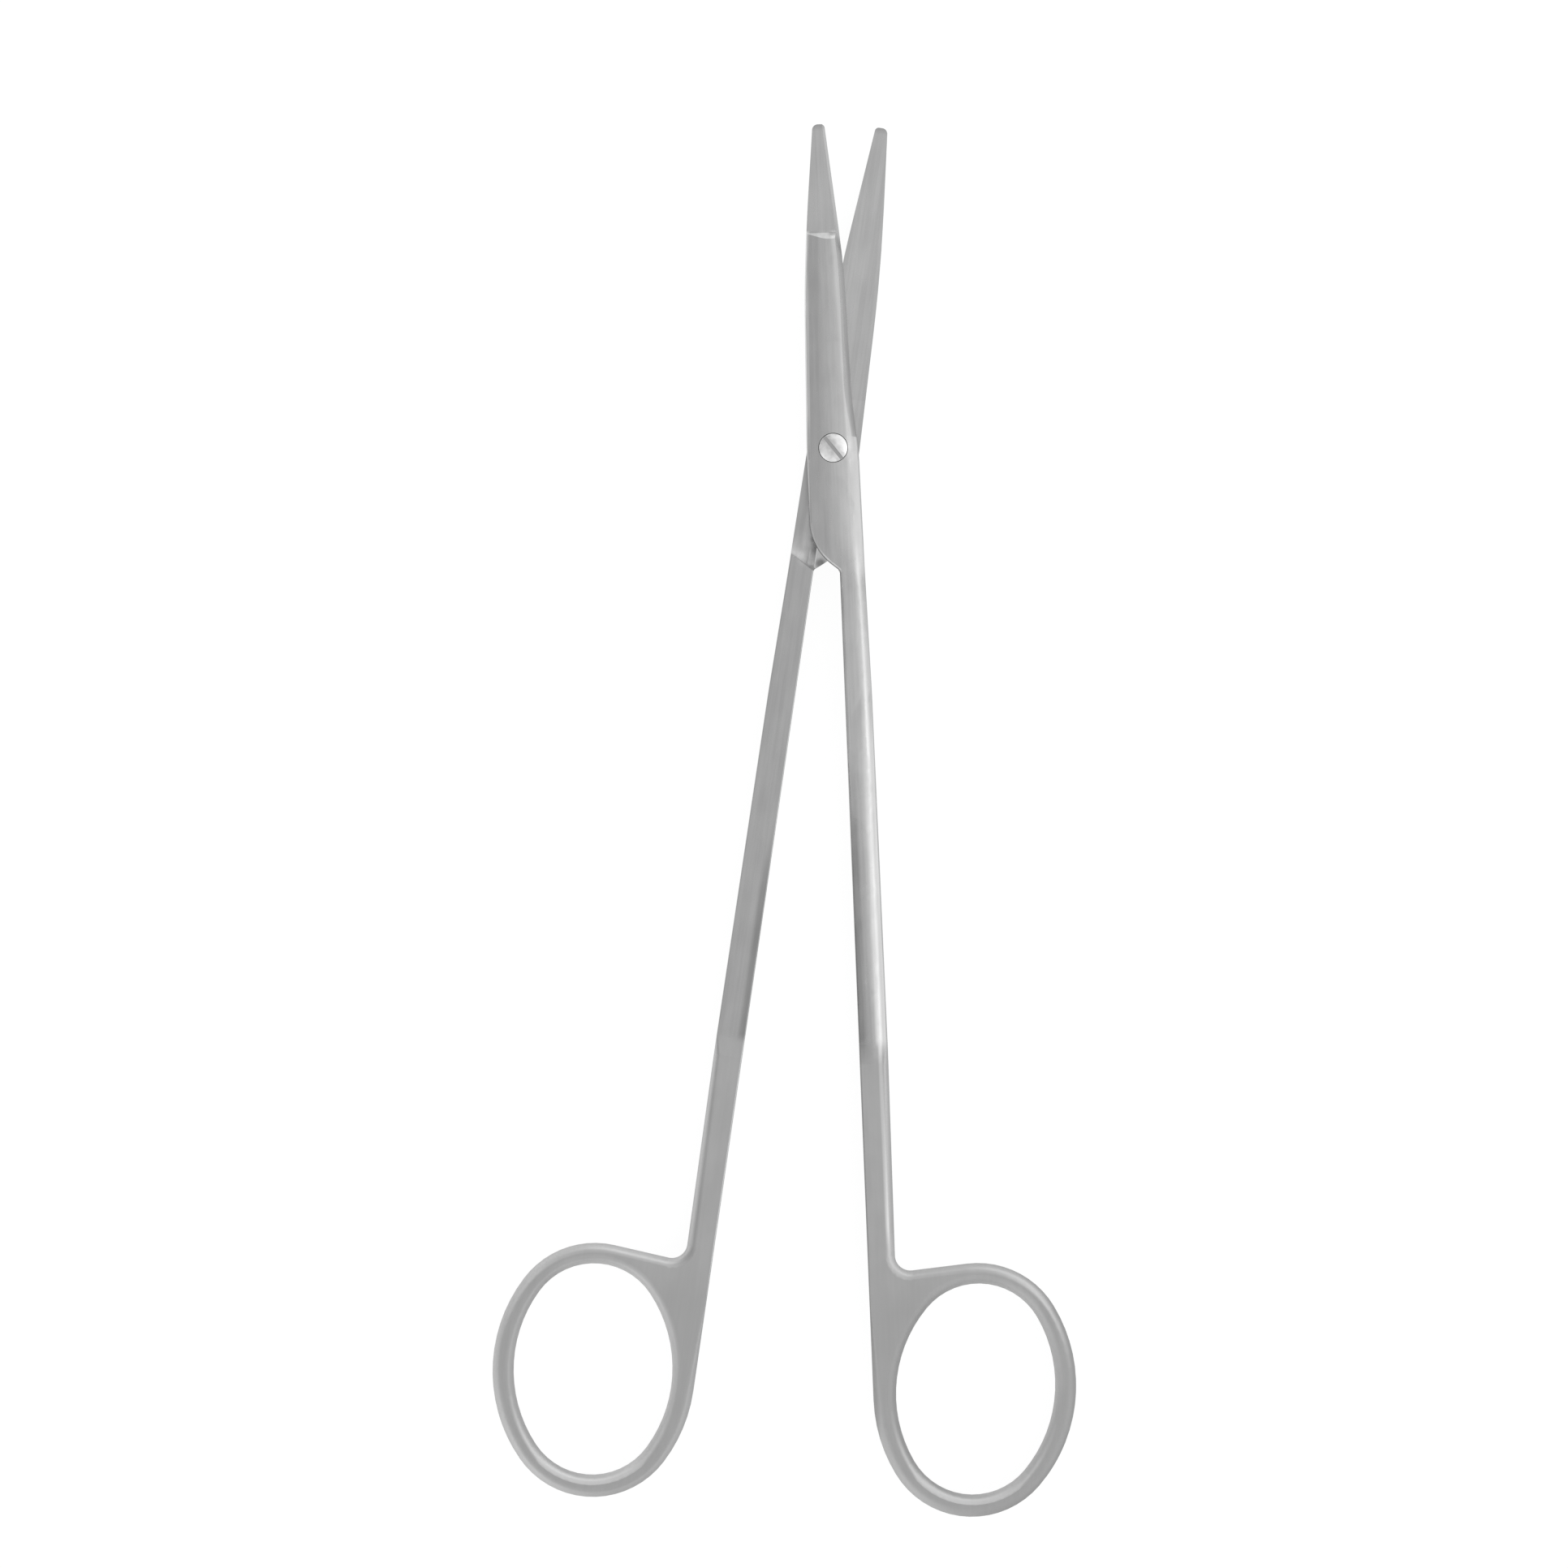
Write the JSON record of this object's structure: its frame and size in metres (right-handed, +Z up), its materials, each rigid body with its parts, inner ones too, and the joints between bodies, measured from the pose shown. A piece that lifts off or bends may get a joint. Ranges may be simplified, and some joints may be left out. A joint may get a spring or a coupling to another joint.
{
  "type": "dissecting scissors",
  "caption": "Long slender dissecting scissors with flattened blunt blade tips, a screw lap joint, convex shanks and finger rings; the halves turn about the pivot screw.",
  "frame": {"origin": "on the pivot axis, at the level flat under the lower half, which is the plane the scissors lie on", "axes": "+Y from the pivot to between the blade tips, +X to the right hand ring's side, +Z up through the screw head"},
  "size_m": [0.0754, 0.1783, 0.0045],
  "materials": {
    "satin_steel": "satin ground stainless steel",
    "polished_steel": "polished stainless steel"
  },
  "bodies": {
    "lower": {"lower_half": "satin_steel", "pivot_screw": "polished_steel"},
    "upper": {"upper_half": "satin_steel"}
  },
  "joints": [
    {"name": "pivot", "type": "hinge", "parent": "lower", "child": "upper", "pos_m": [0, 0, 0.00213], "axis": [0, 0, 1], "range_deg": [-10.66, 135]}
  ]
}
